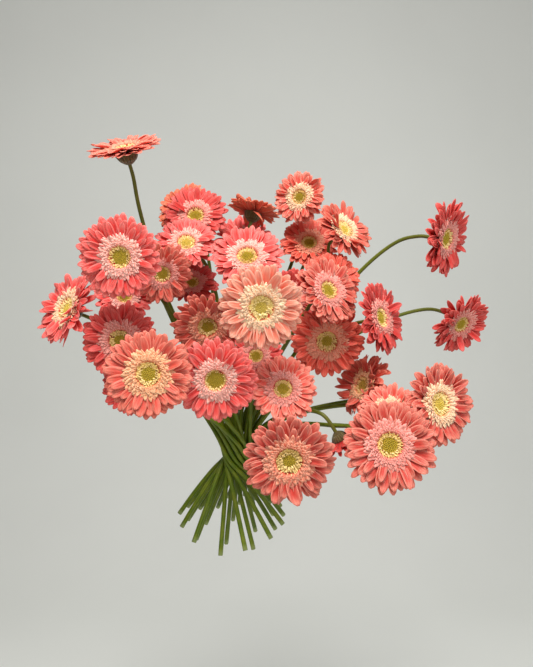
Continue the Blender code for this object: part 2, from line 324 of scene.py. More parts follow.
def stem_piece(flower, centres, girths, random):
    """One stem as a fine ribbed tube along its CAD route, with its cut foot modelled."""
    fine = smooth_run(np.hstack([centres, girths[:, None]]), STEPS_PER_STRETCH)
    run = fine[:, :3]
    heading = unit(np.gradient(run, axis=0))
    side = unit(np.cross(heading[0], START_SIDE))
    turn = np.linspace(0, 2 * math.pi, STEM_SIDES, endpoint=False)
    ribs = np.cos(turn * STEM_RIBS)
    rings = []
    for point, ahead, girth in zip(run, heading, fine[:, 3]):
        side = unit(side - ahead * (side @ ahead))
        across = np.cos(turn)[:, None] * side + np.sin(turn)[:, None] * np.cross(ahead, side)
        swelling = girth * (1 + RIB_DEPTH * ribs + random.normal(0, GIRTH_WAVER))
        rings.append(point + across * swelling[:, None])
    rim = rings[0]
    middle = rim.mean(axis=0)
    pit = middle + heading[0] * PIT_DEPTH
    pit_floor = middle + (rim - middle) * PIT_FLOOR + heading[0] * PIT_FLOOR_DEPTH
    pit_mouth = middle + (rim - middle) * PIT_MOUTH
    rings = [pit_floor, pit_mouth, rim] + rings[1:]
    points = np.vstack([pit] + rings + [run[-1]])
    faces = strip_faces(len(rings), STEM_SIDES, closed=True, first=1)
    last = 1 + (len(rings) - 1) * STEM_SIDES
    faces += cap_faces(STEM_SIDES, 0, 1, len(points) - 1, last)
    rows = np.arange(len(rings))
    rise = np.repeat((rows - PIT_ROWS).clip(0) / (len(rings) - 1 - PIT_ROWS), STEM_SIDES)
    in_pit = np.where(rows < PIT_ROWS, 1.0, np.where(rows == PIT_ROWS, RIM_PITH, 0.0))
    pith = np.repeat(in_pit, STEM_SIDES)
    # Where the painted shade of the furrows between the ribs goes, kept off the cut end.
    painted_shade_furrow = np.tile(0.5 - 0.5 * ribs, len(rings)) * (pith == 0)
    values = {
        "rise": np.concatenate([[0], rise, [1]]),
        "pith": np.concatenate([[1], pith, [0]]),
        "painted_shade_furrow": np.concatenate([[0], painted_shade_furrow, [0]]),
    }
    return new_piece("fine_stem_of_" + flower["name"], points, faces, values, stem_skin)


# A head's own solid is read first, because a stem ends inside the olive cup under it.
# These are shares of the head's radius. Corners outside DISH_SHARE are on the dish of petals,
# those inside STALK_SHARE are on the calyx's point, and those outside RIM_SHARE on the rim.
RIM_HEIGHT = 0.08
DISH_SHARE = 0.5
STALK_SHARE = 0.2
RIM_SHARE = 0.8
DISH_ROUNDS = 3


def head_pose(corners):
    """A head's eye, the directions across it and out of it, and its radius."""
    wide = corners
    for _ in range(DISH_ROUNDS):
        middle = wide.mean(axis=0)
        facing = np.linalg.eigh(np.cov((wide - middle).T))[1][:, 0]
        off_axis = np.linalg.norm(np.cross(corners - middle, facing), axis=1)
        radius = off_axis.max()
        wide = corners[off_axis > DISH_SHARE * radius]
    if ((corners - middle) @ facing)[off_axis < STALK_SHARE * radius].mean() > 0:
        facing = -facing
    rim = corners[off_axis > RIM_SHARE * radius].mean(axis=0)
    eye = rim - facing * RIM_HEIGHT * radius
    across = unit(np.cross([0.0, 0.0, 1.0], facing))
    return eye, np.array([across, np.cross(facing, across), facing]), radius


for index, flower in enumerate(flowers):
    corners, edges = node_corners(flower["stem"])
    rings = stem_rings(corners, edges)
    head_corners = node_corners(flower["head"])[0]
    if flower["head"] == flower["stem"]:
        head_corners = np.delete(corners, np.concatenate(rings), axis=0)
    eye, axes, radius = head_pose(head_corners)
    flower.update(eye=eye, axes=axes, radius=radius, index=index)
    neck = eye - axes[2] * NECK_DEPTH * radius
    centres = [corners[ring].mean(axis=0) for ring in rings]
    girths = []
    for ring, centre in zip(rings, centres):
        girths.append(np.linalg.norm(corners[ring] - centre, axis=1).mean())
    if np.linalg.norm(centres[-1] - neck) > NECK_REACH:
        centres.append(neck)
        girths.append(girths[-1])
    centres.append(neck + axes[2] * NECK_TUCK)
    girths.append(girths[-1])
    random = np.random.default_rng([STEM_SEED, index])
    piece = stem_piece(flower, np.array(centres), np.array(girths), random)
    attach(piece, "root")
    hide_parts(flower["stem"])


# ---- Calyxes -------------------------------------------------------------------------
# Under each head sits a dark olive cup of narrow pointed bracts in three rows, which
# overlap like roof tiles and hold the petals. It is downy, and brownish at the tips.
CALYX_SEED = 2
CUP_OUTLINE = (
    # radius and height under the eye, as shares of the head's radius
    (0.075, -0.36), (0.115, -0.335), (0.20, -0.27), (0.27, -0.17), (0.315, -0.06), (0.30, 0.0),
)
CUP_SIDES = 20
CUP_STEPS = 2
FLUTE_DEPTH = 0.03
BRACT_ROWS = (
    # how many, where the row starts down the cup, its length and half width, how far it stands off
    (13, 0.02, 0.17, 0.042, 0.004),
    (17, 0.22, 0.22, 0.038, 0.008),
    (21, 0.42, 0.27, 0.034, 0.012),
)
BRACT_THICKNESS = 0.0005
BRACT_GRID = (6, 3)
BRACT_SLOPE_START = math.radians(48)
BRACT_SLOPE_END = math.radians(88)
BRACT_CHANNEL = 0.25
# How much a bract differs from its row, with all angles in radians.
BRACT_SPREAD = {"spin": 0.03, "length": 0.06, "slope_end": 0.09, "side_bend": 0.04}
ANY_TURN = 6                   # radians, nearly a whole round: where a row of petals may start

CALYX_BROWN = colour(66, 50, 18)
CALYX_PATCH_OLIVE = colour(96, 82, 32)
BRACT_TIP_BROWN = colour(78, 38, 18)
MIDRIB_OLIVE = colour(124, 110, 52)
MIDRIB_SHADE = 0.40


def thicken(piece, thickness):
    """Gives a sheet of plant skin its real thickness, the same on both sides."""
    solidify = piece.modifiers.new("thickness", "SOLIDIFY")
    solidify.thickness = thickness
    solidify.offset = 0


def calyx_material():
    """Downy olive brown, darker at the tips, with a paler midrib down each bract."""
    material, tree, shader = new_material("calyx_skin", roughness=0.6, specular=0.3)
    skin = add_cloudy_skin(tree, CALYX_BROWN, CALYX_PATCH_OLIVE, 220.0)
    tips = blended(tree, point_value(tree, "along"), skin["Color"], BRACT_TIP_BROWN)
    midrib = maths(tree, "SUBTRACT", 1.0, maths(tree, "ABSOLUTE", point_value(tree, "across")))
    ribbed = blended(tree, maths(tree, "MULTIPLY", midrib, MIDRIB_SHADE), tips, MIDRIB_OLIVE)
    tree.links.new(ribbed, shader.inputs["Base Color"])
    add_relief(tree, shader, skin["Grain"], strength=0.5, distance=0.0005)
    shader.inputs["Sheen Weight"].default_value = 0.25
    return material


calyx_skin = calyx_material()


TIP_CROWDING = 1.25            # how much closer a petal's rows of points lie towards its tip
LATE_BEND = 1.3                # how late along its length a petal takes up its end slope
GROOVE_WAVES = 2.2             # how many waves the lengthwise folds make across a petal
CREASE_AT_ENDS = 0.35          # how deep the folds are at both ends,
CREASE_SWELL = 0.65            # what they gain in between,
CREASE_SPAN = (0.05, 0.93)     # and where along the petal that is


def petal_sheets(count, rows, columns, spin, base_radius, base_height, length, half_width, outline,
                 slope_start, slope_end, side_bend, roll, roll_end, channel, groove):
    """Petals, florets or bracts round a head, all alike in their parts but each with its own sizes.

    Sizes are shares of the head's radius and angles are in radians. A petal leaves the axis at
    base_radius, climbs by slope_start and ends by slope_end, and its outline is a share of
    half_width for each row. Gives the points in head directions, and each one's place on its petal.
    """
    def column(value):
        return np.broadcast_to(np.asarray(value, float), (count,))[:, None]

    t = 1 - (1 - np.linspace(0, 1, rows)) ** TIP_CROWDING
    s = np.linspace(-1, 1, columns)
    slope = column(slope_start) + (column(slope_end) - column(slope_start)) * t**LATE_BEND
    step = column(length) * np.diff(t, prepend=0)
    radius = column(base_radius) + np.cumsum(np.cos(slope) * step, axis=1)
    height = column(base_height) + np.cumsum(np.sin(slope) * step, axis=1)
    turn = column(spin) + column(side_bend) * t**2
    out = np.stack([np.cos(turn), np.sin(turn), np.zeros_like(turn)], axis=-1)
    sideways = np.stack([-np.sin(turn), np.cos(turn), np.zeros_like(turn)], axis=-1)
    up = np.array([0.0, 0.0, 1.0])
    skin_normal = -np.sin(slope)[..., None] * out + np.cos(slope)[..., None] * up
    lean = (column(roll) + column(roll_end) * t**2)[..., None]
    lateral = np.cos(lean) * sideways + np.sin(lean) * skin_normal
    lifted = -np.sin(lean) * sideways + np.cos(lean) * skin_normal
    spine = radius[..., None] * out + height[..., None] * up
    width = (column(half_width) * outline(t))[..., None]
    folds = np.cos(s * GROOVE_WAVES * math.pi)
    crease = column(channel)[..., None] * s**2 + column(groove)[..., None] * folds
    depth = CREASE_AT_ENDS + CREASE_SWELL * np.sin(math.pi * t.clip(*CREASE_SPAN))
    lift = crease * width * depth[None, :, None]
    points = spine[:, :, None] + (width * s)[..., None] * lateral[:, :, None]
    points = points + lift[..., None] * lifted[:, :, None]
    along = np.broadcast_to(t[None, :, None], points.shape[:3])
    across = np.broadcast_to(s[None, None, :], points.shape[:3])
    return points, along, across


def sheet_faces(count, rows, columns, first=0):
    """The faces of so many grids, one after another."""
    one = np.array(strip_faces(rows, columns))
    starts = (np.arange(count) * rows * columns)[:, None, None]
    return (one[None] + first + starts).reshape(-1, 4).tolist()


def even_turns(count):
    """The angles of so many petals that stand evenly round a head."""
    return np.arange(count) * 2 * math.pi / count


def add_row(built, count, grid, **sizes):
    """Adds a row of petals to a piece that is being built, as points, faces and point values."""
    sheets, along, across = petal_sheets(count, *grid, **sizes)
    built["faces"] += sheet_faces(count, *grid, first=sum(len(part) for part in built["points"]))
    built["points"].append(sheets.reshape(-1, 3))
    built["along"].append(along.ravel())
    built["across"].append(across.ravel())


def in_place(flower, points):
    """Points in head directions and shares of the radius, moved to the flower's real place."""
    return flower["eye"] + (points.reshape(-1, 3) * flower["radius"]) @ flower["axes"]


def bract_outline(t):
    """A lance: widest half way along, with a sharp tip."""
    return (0.75 + 0.25 * np.sin(math.pi * t)) * np.sqrt(1 - 0.985 * t**2.2)


# The cup under the bracts is one shape for every head: its two end points, then its rings.
cup = smooth_run(np.array([(x, z, 0.0) for x, z in CUP_OUTLINE]), CUP_STEPS)[:, :2]
turn = np.linspace(0, 2 * math.pi, CUP_SIDES, endpoint=False)
flutes = 1 + FLUTE_DEPTH * np.cos(turn * CUP_SIDES / 2)
cup_points = [(0, 0, cup[0][1]), (0, 0, cup[-1][1])]
for x, z in cup:
    for angle, flute in zip(turn, flutes):
        cup_points.append((x * flute * math.cos(angle), x * flute * math.sin(angle), z))
cup_faces = strip_faces(len(cup), CUP_SIDES, closed=True, first=2)
cup_faces += cap_faces(CUP_SIDES, 0, 2, 1, 2 + (len(cup) - 1) * CUP_SIDES)

for flower in flowers:
    random = np.random.default_rng([CALYX_SEED, flower["index"]])
    built = {
        "points": [np.array(cup_points)],
        "faces": list(cup_faces),
        "along": [np.zeros(len(cup_points))],
        "across": [np.ones(len(cup_points))],
    }
    for count, start, length, half_width, stand_off in BRACT_ROWS:
        foot = start * (len(cup) - 1)
        low = cup[int(foot)] + (cup[int(foot) + 1] - cup[int(foot)]) * (foot % 1)
        uneven = random.normal(0, BRACT_SPREAD["spin"], count)
        add_row(
            built, count, BRACT_GRID,
            spin=even_turns(count) + uneven + random.uniform(0, ANY_TURN),
            base_radius=low[0] + stand_off,
            base_height=low[1],
            length=length * random.normal(1, BRACT_SPREAD["length"], count),
            half_width=half_width,
            outline=bract_outline,
            slope_start=BRACT_SLOPE_START,
            slope_end=BRACT_SLOPE_END + random.normal(0, BRACT_SPREAD["slope_end"], count),
            side_bend=random.normal(0, BRACT_SPREAD["side_bend"], count),
            roll=0.0,
            roll_end=0.0,
            channel=BRACT_CHANNEL,
            groove=0.0,
        )
    points = in_place(flower, np.vstack(built["points"]))
    values = {key: np.concatenate(built[key]) for key in ("along", "across")}
    piece = new_piece("calyx_of_" + flower["name"], points, built["faces"], values, calyx_skin)
    thicken(piece, BRACT_THICKNESS)
    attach(piece, "root")
    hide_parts(flower["head"])


# ---- Ray petals ----------------------------------------------------------------------
# The coloured petals are long blunt straps with lengthwise folds, paler at edge and tip,
# in two full whorls and some that fill in. They are soft and let a little light through.
RAY_SEED = 3
PETAL_THICKNESS = 0.00042
PETAL_GRID = (9, 5)
RAY_CHANNEL = 0.28
RAY_GROOVE = 0.085
FEWEST_RAYS = 26
MOST_RAYS = 30
EXTRA_RAYS = 4                 # on a flower that is more untidy than VERY_UNTIDY
VERY_UNTIDY = 2
STRAY_SHARE = 0.09             # this share of the petals strays so many times as far
STRAY_BOOST = 2.6
FLOWER_TONES = (0.0, 0.5)      # how far a flower, and then each petal, goes to its odd colour
PETAL_TONES = (-0.3, 0.5)
# How much a petal differs from its row: slopes in degrees, other angles in radians.
RAY_SPREAD = {
    "spin": 0.03, "base_height": 0.008, "length": 0.035, "half_width": 0.09, "slope_start": 2.5,
    "slope_end": 9, "side_bend": 0.05, "roll": 0.09, "roll_end": 0.22, "channel": 0.22,
    "groove": 0.03,
}
COLOUR_KINDS = {
    # petal base, flesh, flesh of the odd petal, edge and tip, how far the pale edge comes in
    "coral": (
        colour(190, 20, 24), colour(240, 76, 70), colour(234, 60, 56), colour(252, 158, 148), 0.68,
    ),
    "apricot": (
        colour(212, 62, 38), colour(252, 138, 112), colour(246, 118, 92), colour(254, 210, 184), 0.68,
    ),
    "salmon": (
        colour(186, 30, 24), colour(236, 88, 72), colour(230, 74, 58), colour(252, 186, 162), 0.66,
    ),
    "dusty": (
        colour(170, 40, 30), colour(222, 92, 76), colour(212, 78, 62), colour(242, 164, 140), 0.62,
    ),
    "brick": (
        colour(150, 20, 14), colour(200, 58, 44), colour(240, 128, 106), colour(238, 150, 126), 0.60,
    ),
    "flame": (
        colour(176, 24, 16), colour(234, 84, 64), colour(224, 68, 50), colour(240, 146, 122), 0.55,
    ),
    "russet": (
        colour(150, 22, 16), colour(204, 70, 56), colour(194, 58, 46), colour(244, 164, 142), 0.76,
    ),
    "crimson": (
        colour(156, 12, 14), colour(214, 58, 52), colour(202, 48, 42), colour(242, 134, 124), 0.52,
    ),
    "bronze": (
        colour(156, 34, 18), colour(222, 92, 62), colour(204, 72, 44), colour(244, 168, 132), 0.55,
    ),
}
# Heads that sit in the shade of others, low in front and deep in the bunch, are given darker kinds: their
# deeper colour is partly their own and partly painted shade.
PETAL_KIND = {
    "bloom_01": "salmon", "bloom_02": "coral", "bloom_03": "coral", "bloom_04": "crimson",
    "bloom_05": "coral", "bloom_06": "dusty", "bloom_07": "coral", "bloom_08": "salmon",
    "bloom_09": "dusty", "bloom_10": "apricot", "bloom_11": "russet", "bloom_12": "flame",
    "bloom_13": "crimson", "bloom_14": "crimson", "bloom_15": "crimson", "bloom_16": "brick",
    "bloom_17": "russet", "bloom_18": "russet", "bloom_19": "salmon", "bloom_20": "russet",
    "bloom_21": "coral", "bloom_22": "dusty", "bloom_23": "crimson", "bloom_24": "dusty",
    "tucked_gerbera_01": "bronze", "tucked_gerbera_02": "crimson", "tucked_gerbera_03": "coral",
    "tucked_gerbera_04": "bronze", "tucked_gerbera_05": "flame", "tucked_gerbera_06": "flame",
    "tucked_gerbera_07": "crimson", "tucked_gerbera_08": "salmon", "tucked_gerbera_09": "coral",
    "tucked_gerbera_10": "crimson", "tucked_gerbera_11": "crimson", "tucked_gerbera_12": "crimson",
}
RAY_WHORLS = (
    # share of the count, length, half width, start radius and height, slope at the start and the end
    (1.00, 0.80, 0.100, 0.20, -0.035, 13, 4),
    (1.00, 0.750, 0.096, 0.19, 0.000, 15, 8),
    (0.50, 0.66, 0.082, 0.18, 0.030, 17, 11),
)
# How much more, or less, than usual a flower's petals stray.
UNTIDY = {
    "bloom_01": 0.8, "bloom_02": 0.6, "bloom_10": 0.7, "bloom_18": 0.6, "bloom_21": 0.6, "bloom_22": 0.7,
    "bloom_09": 1.6, "bloom_14": 1.5, "bloom_15": 1.4, "bloom_16": 3.6, "bloom_17": 1.4, "bloom_03": 1.4,
    "tucked_gerbera_03": 1.5, "tucked_gerbera_04": 1.8,
}

VEIN_WANDER = 0.7              # how far the mottling pushes the veins aside
EDGE_POWER = 2.6               # the higher it is, the narrower the pale edge
TIP_PALES = (0.66, 1.0)        # where along a petal the tip gets pale,
HEART_FADES = (0.05, 0.55)     # and where the dark heart ends
PATCHY_CONTRAST = 0.9          # the pale edge is patchy: the mottling times this,
PATCHY_LEAST = 0.35            # plus this
# The dark streaks in the heart's colour are partly real veins and partly painted shade along lengthwise
# folds and, on the fringe, between the florets.
VEIN_AND_FOLD_SHADE_CONTRAST = 0.09         # the veins are streaks of the heart's colour: so much of it
VEIN_AND_FOLD_SHADE_LEVEL = 0.12            # more or less than this

petal_markings, inputs, outputs = new_group(
    "petal_markings",
    [
        ("Heart", "NodeSocketColor", PLAIN_COLOUR),
        ("Flesh", "NodeSocketColor", PLAIN_COLOUR),
        ("Odd Flesh", "NodeSocketColor", PLAIN_COLOUR),
        ("Edge", "NodeSocketColor", PLAIN_COLOUR),
        ("Edge Reach", "NodeSocketFloat", 0.5),
        ("Vein Count", "NodeSocketFloat", 9.0),
    ],
    [("Color", "NodeSocketColor"), ("Vein", "NodeSocketFloat")],
)
along = point_value(petal_markings, "along")
across = point_value(petal_markings, "across")
tone = point_value(petal_markings, "tone")
mottle = noise(petal_markings, 260.0, 2.0)
wander = maths(petal_markings, "MULTIPLY", mottle, VEIN_WANDER)
phase = maths(petal_markings, "MULTIPLY_ADD", across, inputs["Vein Count"], wander)
vein = maths(petal_markings, "SINE", phase)
side = maths(petal_markings, "POWER", maths(petal_markings, "ABSOLUTE", across), EDGE_POWER)
tip = stretched(petal_markings, along, *TIP_PALES, "SMOOTHSTEP")
base = stretched(petal_markings, along, *HEART_FADES, "SMOOTHSTEP")
fleshy = blended(petal_markings, tone, inputs["Flesh"], inputs["Odd Flesh"])
warmed = blended(petal_markings, base, inputs["Heart"], fleshy)
patchy = maths(petal_markings, "MULTIPLY_ADD", mottle, PATCHY_CONTRAST, PATCHY_LEAST)
edged = maths(petal_markings, "MAXIMUM", maths(petal_markings, "MULTIPLY", side, base), tip)
uneven_edge = maths(petal_markings, "MULTIPLY", edged, patchy)
edge_amount = maths(petal_markings, "MULTIPLY", uneven_edge, inputs["Edge Reach"], clamp=True)
pale = blended(petal_markings, edge_amount, warmed, inputs["Edge"])
# Dark streaks: partly veins, partly painted shade of folds and of the gaps between florets.
veins_and_painted_shade = maths(petal_markings, "MULTIPLY_ADD", vein, VEIN_AND_FOLD_SHADE_CONTRAST, VEIN_AND_FOLD_SHADE_LEVEL)
veined_and_shaded = blended(petal_markings, veins_and_painted_shade, pale, inputs["Heart"])
petal_markings.links.new(veined_and_shaded, outputs["Color"])
petal_markings.links.new(vein, outputs["Vein"])


RAY_VEINS = 9.0
RAY_GLOW = 0.28


def petal_material(name, heart, flesh, odd_flesh, edge, edge_reach, veins=RAY_VEINS, glow=RAY_GLOW):
    """Soft satin petal skin: coloured from base to edge, with fine veins whose dark streaks are partly
    painted shade of lengthwise folds, a little see-through.
    """
    material, tree, shader = new_material(name, roughness=0.5, specular=0.3)
    values = {
        "Heart": heart, "Flesh": flesh, "Odd Flesh": odd_flesh,
        "Edge": edge, "Edge Reach": edge_reach, "Vein Count": veins,
    }
    markings = add_node(tree, "ShaderNodeGroup", values, node_tree=petal_markings).outputs
    tree.links.new(markings["Color"], shader.inputs["Base Color"])
    add_relief(tree, shader, markings["Vein"], strength=0.35, distance=0.0002)
    shader.inputs["Subsurface Weight"].default_value = glow
    shader.inputs["Subsurface Radius"].default_value = (0.0016, 0.0006, 0.0004)
    shader.inputs["Subsurface Scale"].default_value = 1.0
    shader.inputs["Sheen Weight"].default_value = 0.06
    return material


ray_skins = {}
for kind, colours in COLOUR_KINDS.items():
    ray_skins[kind] = petal_material("ray_petal_" + kind, *colours)


def strap_outline(t, foot, growth, widest, tip_start, tip_length, closing, roundness):
    """A strap: it grows from its foot to its widest place, and closes in a blunt round tip."""
    swell = foot + growth * np.sin(math.pi / 2 * (t / widest).clip(0, 1))
    return swell * np.sqrt(1 - closing * ((t - tip_start) / tip_length).clip(0, 1) ** roundness)


def ray_outline(t):
    return strap_outline(t, 0.50, 0.50, 0.60, tip_start=0.70, tip_length=0.30, closing=0.95, roundness=2.2)


for flower in flowers:
    random = np.random.default_rng([RAY_SEED, flower["index"]])
    untidy = UNTIDY.get(flower["name"], 1.0)
    rays = int(random.integers(FEWEST_RAYS, MOST_RAYS + 1)) + EXTRA_RAYS * int(untidy > VERY_UNTIDY)
    built = {"points": [], "faces": [], "along": [], "across": [], "tone": []}
    flower_tone = random.uniform(*FLOWER_TONES)
    first_turn = random.uniform(0, ANY_TURN)
    for whorl, sizes in enumerate(RAY_WHORLS):
        share, length, half_width, start, height, slope_start, slope_end = sizes
        count = int(rays * share)
        offset = first_turn + math.pi * whorl / rays
        wild = np.where(random.random(count) < STRAY_SHARE, STRAY_BOOST, 1.0) * untidy
        add_row(
            built, count, PETAL_GRID,
            spin=even_turns(count) + random.normal(0, RAY_SPREAD["spin"], count) * wild + offset,
            base_radius=start,
            base_height=height + random.normal(0, RAY_SPREAD["base_height"], count),
            length=length * random.normal(1, RAY_SPREAD["length"], count),
            half_width=half_width * random.normal(1, RAY_SPREAD["half_width"], count),
            outline=ray_outline,
            slope_start=np.radians(slope_start + random.normal(0, RAY_SPREAD["slope_start"], count) * wild),
            slope_end=np.radians(slope_end + random.normal(0, RAY_SPREAD["slope_end"], count) * wild),
            side_bend=random.normal(0, RAY_SPREAD["side_bend"], count) * wild,
            roll=random.normal(0, RAY_SPREAD["roll"], count) * wild,
            roll_end=random.normal(0, RAY_SPREAD["roll_end"], count) * wild,
            channel=random.normal(RAY_CHANNEL, RAY_SPREAD["channel"], count),
            groove=random.normal(RAY_GROOVE, RAY_SPREAD["groove"], count),
        )
        petal_tone = (flower_tone + random.uniform(*PETAL_TONES, count)).clip(0, 1)
        built["tone"].append(np.repeat(petal_tone, PETAL_GRID[0] * PETAL_GRID[1]))
    points = in_place(flower, np.vstack(built["points"]))
    values = {key: np.concatenate(built[key]) for key in ("along", "across", "tone")}
    skin = ray_skins[PETAL_KIND[flower["name"]]]
    piece = new_piece("ray_petals_of_" + flower["name"], points, built["faces"], values, skin)
    thicken(piece, PETAL_THICKNESS)
    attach(piece, "root")
    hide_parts(flower["head"])


# ---- Fringes -------------------------------------------------------------------------
# Inside the ray petals stands a crown of short pale florets, thin as grass, in seven
# close rows. The inner ones stand up and the outer ones lean over the ray petals.
FRINGE_SEED = 4
FRINGE_THICKNESS = 0.00028
FRINGE_GRID = (5, 3)
FRINGE_VEINS = 3.0
FRINGE_GLOW = 0.08
FRINGE_CHANNEL = 0.35
# How much a floret differs from its row: slopes in degrees, other angles in radians.
FRINGE_SPREAD = {
    "spin": 0.04, "length": 0.05, "half_width": 0.10, "slope_start": 2, "slope_end": 6,
    "side_bend": 0.04, "roll": 0.10, "roll_end": 0.2,
}
FRINGE_KINDS = {
    "rose": (
        colour(240, 120, 104), colour(252, 160, 142), colour(246, 132, 116), colour(255, 222, 208), 0.95,
    ),
    "blush": (
        colour(222, 98, 86), colour(234, 134, 120), colour(226, 110, 98), colour(252, 198, 184), 0.80,
    ),
    "cream": (
        colour(244, 158, 112), colour(254, 200, 154), colour(250, 178, 134), colour(255, 236, 204), 0.95,
    ),
    "peach": (
        colour(224, 94, 68), colour(242, 134, 104), colour(234, 110, 82), colour(254, 204, 172), 0.85,
    ),
    "tan": (
        colour(224, 118, 76), colour(242, 158, 112), colour(232, 134, 90), colour(254, 218, 174), 0.9,
    ),
}
FRINGE_KIND = {
    "coral": "rose", "crimson": "blush", "apricot": "cream", "salmon": "cream", "flame": "peach",
    "bronze": "tan", "dusty": "tan", "brick": "tan", "russet": "peach",
}
# Flowers whose fringe isn't the one that goes with their petals.
ODD_FRINGES = {
    "bloom_01": "peach", "bloom_03": "cream", "bloom_06": "blush", "bloom_09": "cream",
    "bloom_11": "blush", "bloom_17": "cream", "bloom_18": "blush", "bloom_19": "blush",
    "bloom_24": "peach",
}
FRINGE_ROWS = (
    # how many, length, half width, start height, slope at the start and the end
    (40, 0.325, 0.043, 0.064, 18, 8),
    (40, 0.282, 0.040, 0.070, 20, 11),
    (40, 0.240, 0.037, 0.075, 23, 15),
    (42, 0.198, 0.034, 0.080, 27, 20),
    (42, 0.158, 0.031, 0.084, 32, 26),
    (42, 0.122, 0.027, 0.087, 39, 34),
    (42, 0.088, 0.023, 0.088, 50, 46),
)
FRINGE_START = 0.240           # where the fringe starts, from the axis, round an unripe eye,
FRINGE_RIPE_SHIFT = 0.04       # and how much farther out round a ripe one

# How ripe an eye is, from 0 to 1: the riper, the wider its ring of open florets.
USUAL_RIPENESS = 0.45
RIPENESS = {
    "bloom_02": 0.35, "bloom_03": 0.9, "bloom_05": 0.9, "bloom_07": 0.7, "bloom_08": 0.6, "bloom_09": 1.0,
    "bloom_10": 1.0, "bloom_12": 0.9, "bloom_17": 0.9, "bloom_18": 0.5, "bloom_19": 0.6, "bloom_20": 1.0,
    "bloom_21": 0.05, "bloom_22": 0.7, "bloom_23": 0.8, "bloom_24": 0.7,
}
for flower in flowers:
    flower["ripeness"] = RIPENESS.get(flower["name"], USUAL_RIPENESS)


def fringe_outline(t):
    return strap_outline(t, 0.62, 0.38, 0.7, tip_start=0.72, tip_length=0.28, closing=0.96, roundness=2)


fringe_skins = {}
for kind, colours in FRINGE_KINDS.items():
    fringe_skins[kind] = petal_material("fringe_" + kind, *colours, veins=FRINGE_VEINS, glow=FRINGE_GLOW)

for flower in flowers:
    random = np.random.default_rng([FRINGE_SEED, flower["index"]])
    untidy = UNTIDY.get(flower["name"], 1.0)
    built = {"points": [], "faces": [], "along": [], "across": [], "tone": []}
    for count, length, half_width, height, slope_start, slope_end in FRINGE_ROWS:
        uneven = random.normal(0, FRINGE_SPREAD["spin"], count) * untidy
        add_row(
            built, count, FRINGE_GRID,
            spin=even_turns(count) + uneven + random.uniform(0, ANY_TURN),
            base_radius=FRINGE_START + FRINGE_RIPE_SHIFT * flower["ripeness"],
            base_height=height,
            length=length * random.normal(1, FRINGE_SPREAD["length"], count),
            half_width=half_width * random.normal(1, FRINGE_SPREAD["half_width"], count),
            outline=fringe_outline,
            slope_start=np.radians(slope_start + random.normal(0, FRINGE_SPREAD["slope_start"], count)),
            slope_end=np.radians(slope_end + random.normal(0, FRINGE_SPREAD["slope_end"], count)),
            side_bend=random.normal(0, FRINGE_SPREAD["side_bend"], count) * untidy,
            roll=random.normal(0, FRINGE_SPREAD["roll"], count),
            roll_end=random.normal(0, FRINGE_SPREAD["roll_end"], count),
            channel=FRINGE_CHANNEL,
            groove=0.0,
        )
        floret_tone = random.uniform(0, 1, count)
        built["tone"].append(np.repeat(floret_tone, FRINGE_GRID[0] * FRINGE_GRID[1]))
    points = in_place(flower, np.vstack(built["points"]))
    values = {key: np.concatenate(built[key]) for key in ("along", "across", "tone")}
    skin = fringe_skins[ODD_FRINGES.get(flower["name"], FRINGE_KIND[PETAL_KIND[flower["name"]]])]
    piece = new_piece("fringe_of_" + flower["name"], points, built["faces"], values, skin)
    thicken(piece, FRINGE_THICKNESS)
    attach(piece, "root")
    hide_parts(flower["head"])


# ---- Eyes ----------------------------------------------------------------------------
# The eye is a low cushion of closed florets packed in spirals, green and then olive, on a
# round seat, with a ring of open cream florets that ripen from the outside in.
EYE_SEED = 5
EYE_RADIUS = 0.21
EYE_CROWN = 0.080              # how high the middle of the cushion stands,
EYE_FALL = 0.03                # and how much lower its edge is
EYE_BUDS = 110
CLOSED_LOSS = 0.55             # the share of them that has opened on a ripe eye
GOLDEN_ANGLE = math.radians(137.508)
CLOSED_WIDTH = 0.0185
CLOSED_LENGTHS = (0.016, 0.024)
OPEN_WIDTH = 0.0135
OPEN_LENGTHS = (0.035, 0.060)
OPEN_HEIGHTS = (0.055, 0.095)
OPEN_LEAN = 0.02
OPEN_COUNT = 90                # open florets on an unripe eye,
OPEN_GAIN = 130                # how many more a ripe one has,
RING_INSIDE = 0.19             # where their ring starts and ends on an unripe one,
RING_OUTSIDE = 0.275
RING_CREEP_IN = 0.060          # and how much wider it gets to each side
RING_CREEP_OUT = 0.040
EYE_KINDS = {
    # bud at the middle, bud at the edge, open floret
    "olive": (colour(164, 142, 28), colour(196, 168, 52), colour(250, 222, 154)),
    "yellow": (colour(208, 180, 60), colour(228, 200, 96), colour(252, 230, 164)),
    "brown": (colour(156, 120, 36), colour(180, 138, 54), colour(238, 196, 130)),
}
EYE_KIND = {
    "bloom_10": "yellow", "bloom_09": "yellow", "bloom_17": "yellow", "bloom_03": "yellow",
    "bloom_05": "yellow", "bloom_16": "brown", "tucked_gerbera_01": "brown",
    "tucked_gerbera_04": "brown",
}


def eye_material(name, middle, edge, floret):
    """Matt florets: closed ones shade from the middle to the edge, open ones are cream."""
    material, tree, shader = new_material(name, roughness=0.55, specular=0.3)
    skin = add_cloudy_skin(tree, middle, edge, 300.0)
    rim = blended(tree, point_value(tree, "out"), skin["Color"], edge)
    opened = blended(tree, point_value(tree, "opened"), rim, floret)
    tree.links.new(opened, shader.inputs["Base Color"])
    add_relief(tree, shader, skin["Grain"], strength=0.4, distance=0.0003)
    return material


